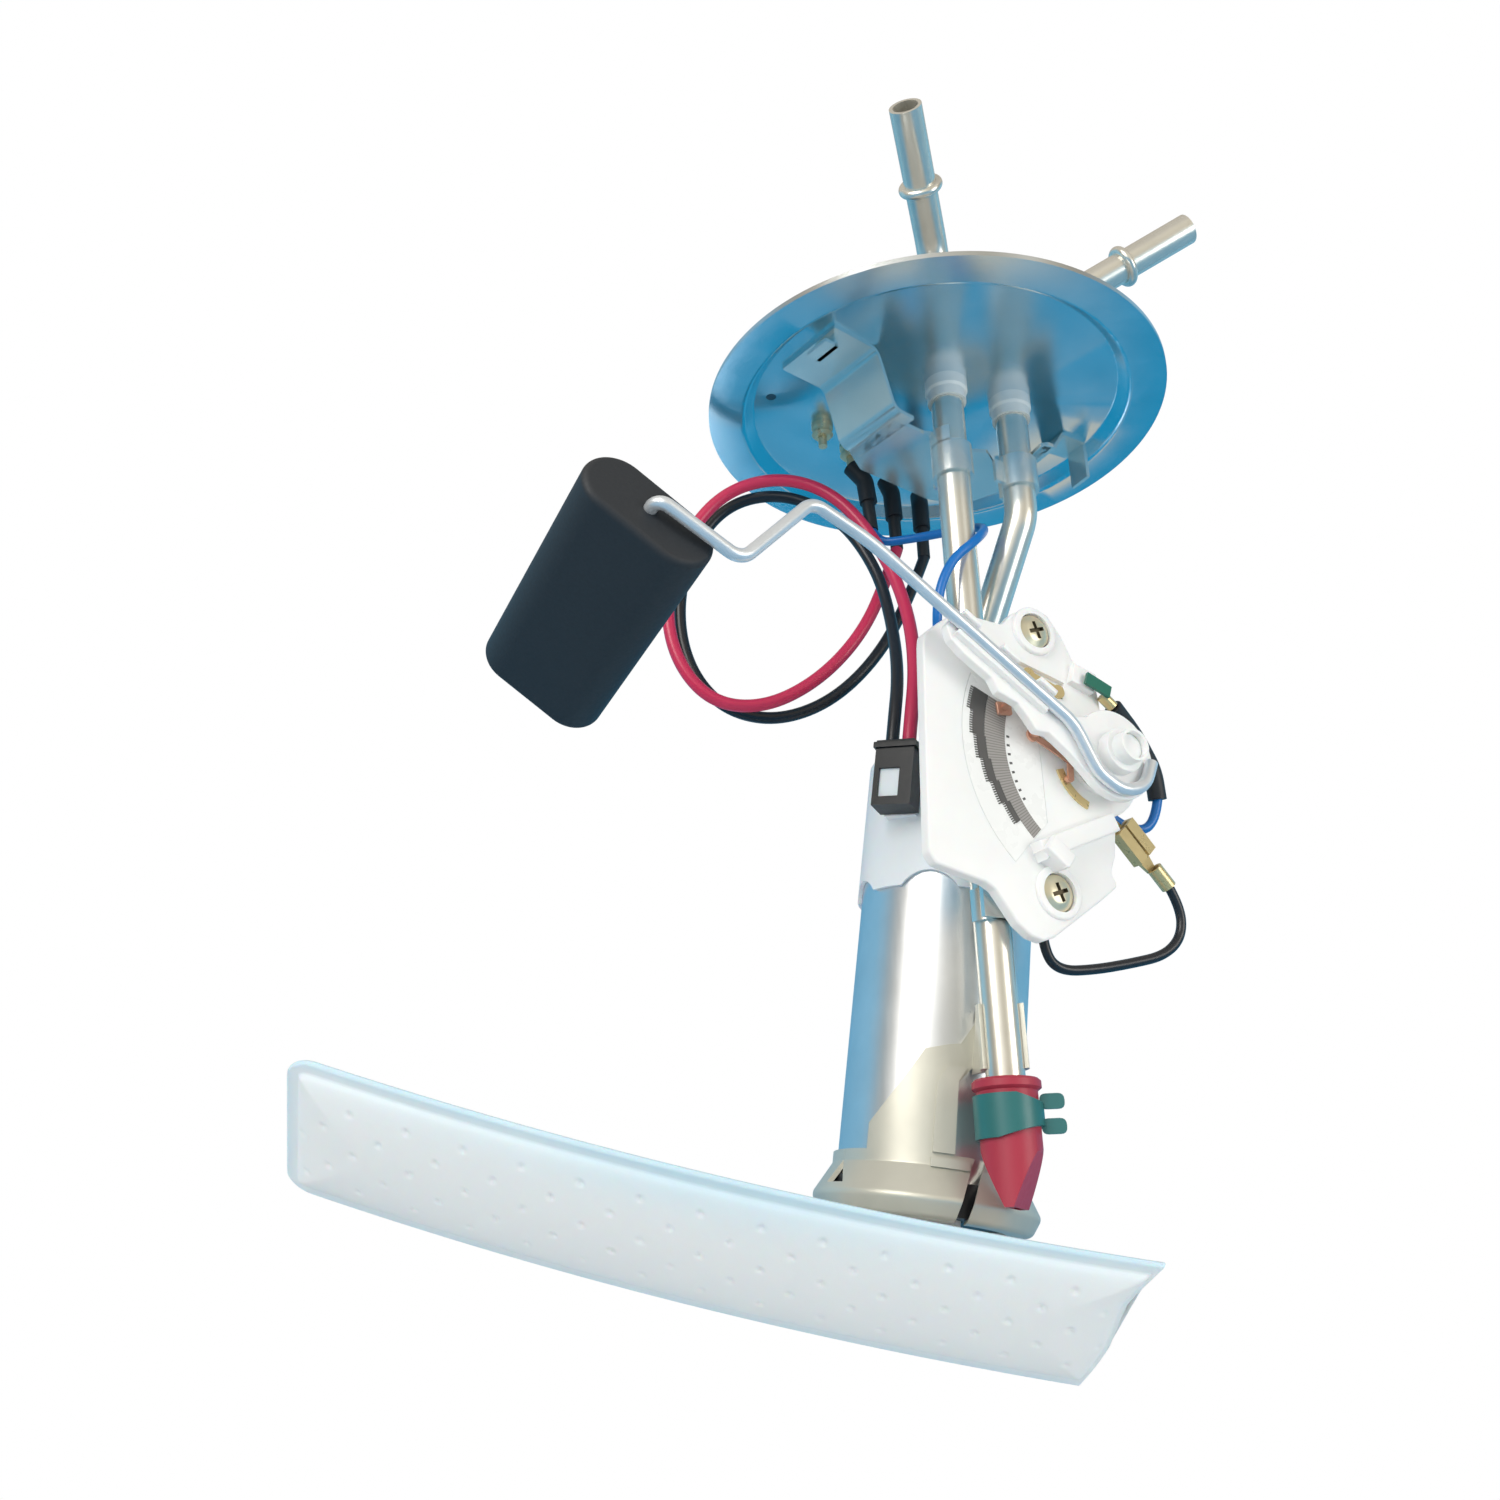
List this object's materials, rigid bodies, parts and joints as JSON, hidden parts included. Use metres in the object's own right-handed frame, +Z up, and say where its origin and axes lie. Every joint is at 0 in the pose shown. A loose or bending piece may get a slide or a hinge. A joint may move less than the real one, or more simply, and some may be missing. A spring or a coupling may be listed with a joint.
{
  "type": "fuel pump module",
  "caption": "In-tank fuel pump module: round flange with two bent tubes, a level sender with a float arm, a pump held by a bracket and a flat strainer.",
  "frame": {"origin": "centre of the tank opening, on the underside of the flange's rim", "axes": "+Z up out of the tank; -Y faces the pictured front, +X to the viewer's right"},
  "size_m": [0.2186, 0.1249, 0.283],
  "materials": {
    "flange": "satin",
    "steel_tube": "satin, nickel plated",
    "steel_sheet": "satin",
    "gilt": "plated",
    "black_rubber": "matte",
    "dark_plastic": "matte",
    "white_plastic": "satin moulding",
    "ceramic": "matte",
    "track": "printed resistor ink",
    "brass": "satin",
    "green_plate": "gloss",
    "zinc": "yellow passivated zinc",
    "bright_wire": "bright drawn",
    "copper": "bright copper",
    "float_black": "fine matte",
    "pump_aluminium": "brushed along its length",
    "magnet": "ground",
    "lamination": "ground",
    "carbon": "matte",
    "black_plastic": "satin",
    "strainer_cloth": "translucent bonded mesh",
    "red_rubber": "matte",
    "teal_clamp": "coated spring steel",
    "red_wire": "satin insulation",
    "black_wire": "satin insulation",
    "blue_wire": "satin insulation"
  },
  "bodies": {
    "hanger": {"flange_plate": "flange", "return_tube": "steel_tube", "supply_tube": "steel_tube", "return_tube_collar": "steel_tube", "supply_tube_collar": "steel_tube", "tube_strap": "steel_sheet", "terminal_bushes": "gilt", "terminal_pins": "gilt", "terminal_boots": "black_rubber", "top_socket": "dark_plastic", "sender_bracket": "steel_sheet", "sender_housing": "white_plastic", "resistor_card": "ceramic", "resistor_tracks": "track", "sender_brass_terminal": "brass", "sender_contact_arc": "brass", "sender_output_tab": "green_plate", "sender_ground_tab": "brass", "sender_screws": "zinc", "pump_shell": "pump_aluminium", "pump_inlet_housing": "dark_plastic", "pump_magnets": "magnet", "pump_outlet_cover": "dark_plastic", "pump_brushes": "carbon", "brush_springs": "bright_wire", "pump_bearings": "brass", "check_stop": "dark_plastic", "pump_isolator_cap": "white_plastic", "pump_plug": "black_plastic", "outlet_hose": "black_rubber", "hose_clamps": "zinc", "lower_isolator": "black_rubber", "lower_bracket": "steel_sheet", "strainer_neck": "white_plastic", "strainer_sock": "strainer_cloth", "strainer_frame": "white_plastic", "strainer_retainer": "zinc", "duckbill_valve": "red_rubber", "valve_clamp": "teal_clamp", "red_lead": "red_wire", "black_lead": "black_wire", "blue_lead": "blue_wire", "ground_lead": "black_wire", "lead_sleeve": "black_rubber", "output_crimp": "brass", "ground_spade": "brass", "ground_eyelet": "brass"},
    "float_arm": {"rotor_arm": "white_plastic", "arm_wire": "bright_wire", "wiper_contacts": "copper"},
    "float_body": {"float": "float_black", "float_retainer": "bright_wire"},
    "pump_rotor": {"armature_core": "lamination", "armature_windings": "copper", "armature_shaft": "bright_wire", "commutator": "copper", "pump_impeller": "dark_plastic"},
    "check_valve": {"check_ball": "bright_wire"}
  },
  "joints": [
    {"name": "float_arm_pivot", "type": "hinge", "parent": "hanger", "child": "float_arm", "pos_m": [0.0302, -0.01026, -0.098], "axis": [0.4695, -0.8829, 0], "range_deg": [-10, 44]},
    {"name": "float_swivel", "type": "hinge", "parent": "float_arm", "child": "float_body", "pos_m": [-0.06634, -0.06256, -0.06571], "axis": [-0.462, 0.8684, -0.1802], "continuous": true},
    {"name": "pump_spin", "type": "hinge", "parent": "hanger", "child": "pump_rotor", "pos_m": [-0.00733, 0.0158, -0.15039], "axis": [0.1392, 0, 0.9903], "continuous": true},
    {"name": "check_ball_lift", "type": "slide", "parent": "hanger", "child": "check_valve", "axis": [0.1392, 0, 0.9903], "range_m": [0, 0.0015]}
  ]
}
